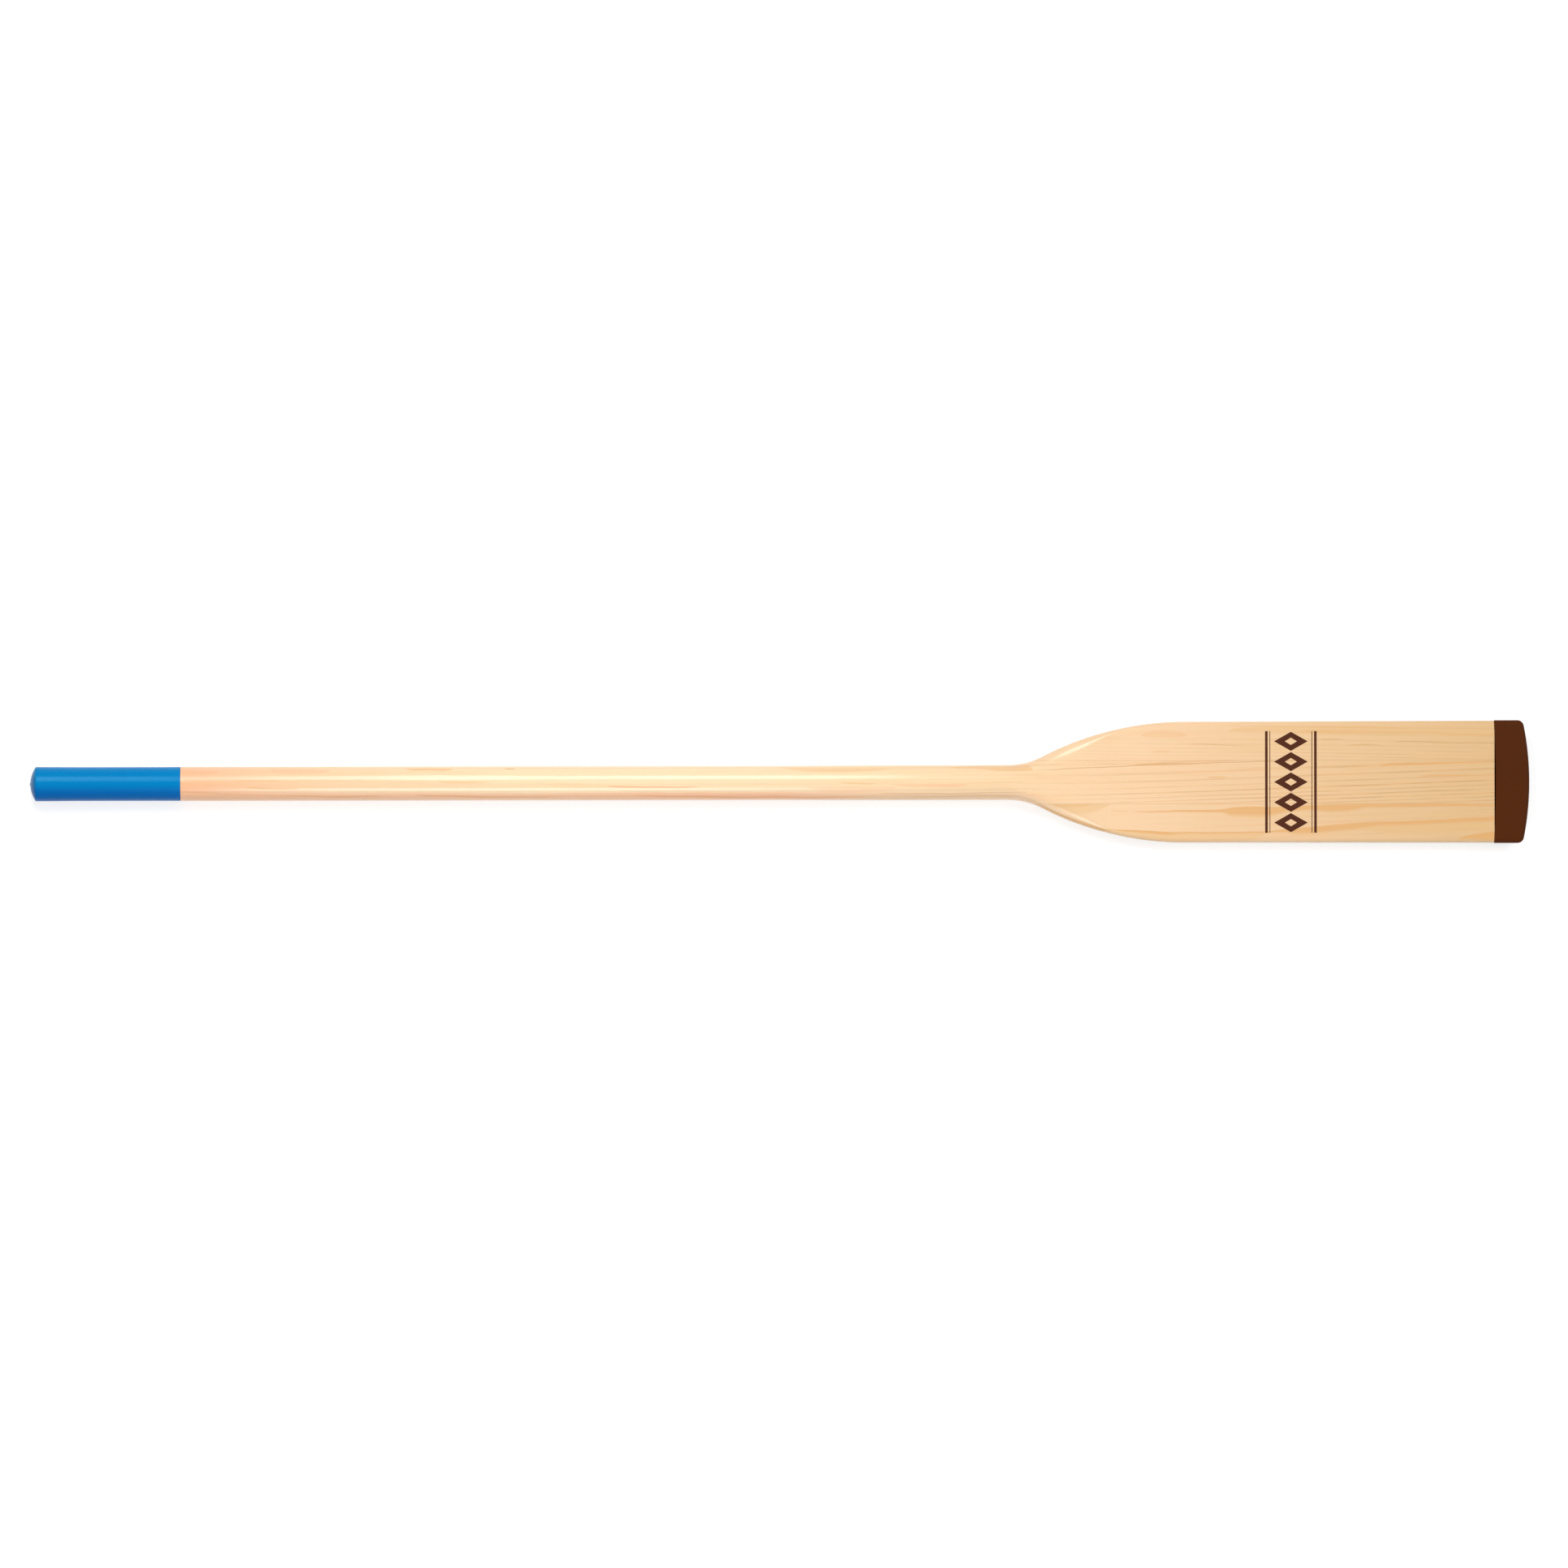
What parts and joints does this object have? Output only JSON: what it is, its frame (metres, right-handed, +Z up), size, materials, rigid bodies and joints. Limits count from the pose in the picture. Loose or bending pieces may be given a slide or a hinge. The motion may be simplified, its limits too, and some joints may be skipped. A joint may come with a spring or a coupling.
{
  "type": "oar",
  "caption": "Flat-bladed wooden rowing oar with a round loom, a laminated blade, a domed grip sleeve and a tip guard.",
  "frame": {"origin": "on the surface that the oar lies on, below the loom's axis, halfway between the grip's end and the blade's tip", "axes": "+X along the loom from the grip to the blade's tip, +Y across the blade, +Z up, square to the blade"},
  "size_m": [1.8295, 0.15, 0.0429],
  "materials": {
    "stick_pine": "straight-grained pine under a clear gloss varnish",
    "plank_pine": "flat-sawn pine under a clear gloss varnish",
    "grip_vinyl": "satin dipped vinyl, bright blue",
    "guard_vinyl": "satin dipped vinyl, dark brown"
  },
  "bodies": {
    "root": {"loom": "stick_pine", "blade_wing_left": "plank_pine", "blade_wing_right": "plank_pine", "grip_sleeve": "grip_vinyl", "tip_guard": "guard_vinyl"}
  },
  "joints": []
}
